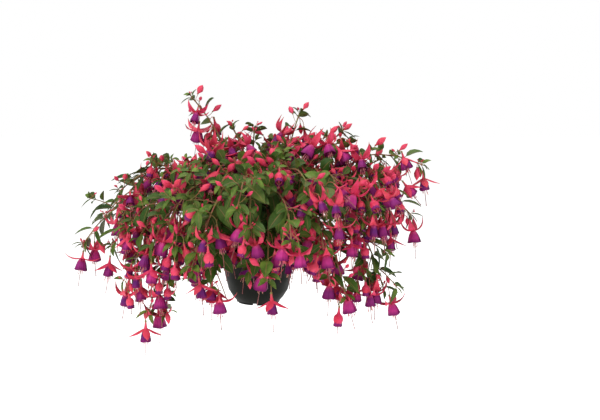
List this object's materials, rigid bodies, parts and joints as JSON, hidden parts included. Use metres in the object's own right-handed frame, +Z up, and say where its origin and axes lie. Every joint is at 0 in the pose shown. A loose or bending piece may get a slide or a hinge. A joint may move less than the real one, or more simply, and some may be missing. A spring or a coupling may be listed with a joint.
{
  "type": "fuchsia hanging basket",
  "caption": "Trailing fuchsia plant in a round plastic hanging pot: arching leafy stems with pendant red and violet bell-shaped blooms.",
  "frame": {"origin": "centre of the pot's rim plane, on the pot's axis, under the hook that carries it", "axes": "+Z up along the pot's axis, -Y the front of the plant, +X to the viewer's right"},
  "size_m": [0.6619, 0.5314, 0.4647],
  "materials": {
    "pot": "matt, dark green-black",
    "compost": "rough, dark brown",
    "leafy_stem": "satin",
    "leaf": "satin, paler below",
    "sepal": "satin",
    "corolla": "satin"
  },
  "bodies": {
    "root": {"pot": "pot", "compost": "compost", "stem_01": "leafy_stem", "stem_02": "leafy_stem", "stem_03": "leafy_stem", "stem_04": "leafy_stem", "stem_05": "leafy_stem", "stem_06": "leafy_stem", "stem_07": "leafy_stem", "stem_08": "leafy_stem", "stem_09": "leafy_stem", "stem_10": "leafy_stem", "stem_11": "leafy_stem", "stem_12": "leafy_stem", "stem_13": "leafy_stem", "stem_14": "leafy_stem", "stem_15": "leafy_stem", "stem_16": "leafy_stem", "stem_17": "leafy_stem", "stem_18": "leafy_stem", "stem_19": "leafy_stem", "stem_20": "leafy_stem", "stem_21": "leafy_stem", "stem_22": "leafy_stem", "stem_23": "leafy_stem", "stem_24": "leafy_stem", "stem_25": "leafy_stem", "stem_26": "leafy_stem", "stem_27": "leafy_stem", "stem_28": "leafy_stem", "stem_29": "leafy_stem", "stem_30": "leafy_stem", "stem_31": "leafy_stem", "stem_32": "leafy_stem", "stem_33": "leafy_stem", "stem_34": "leafy_stem", "stem_35": "leafy_stem", "stem_36": "leafy_stem", "stem_37": "leafy_stem", "stem_38": "leafy_stem", "stem_39": "leafy_stem", "stem_40": "leafy_stem", "stem_41": "leafy_stem"}
  },
  "joints": []
}
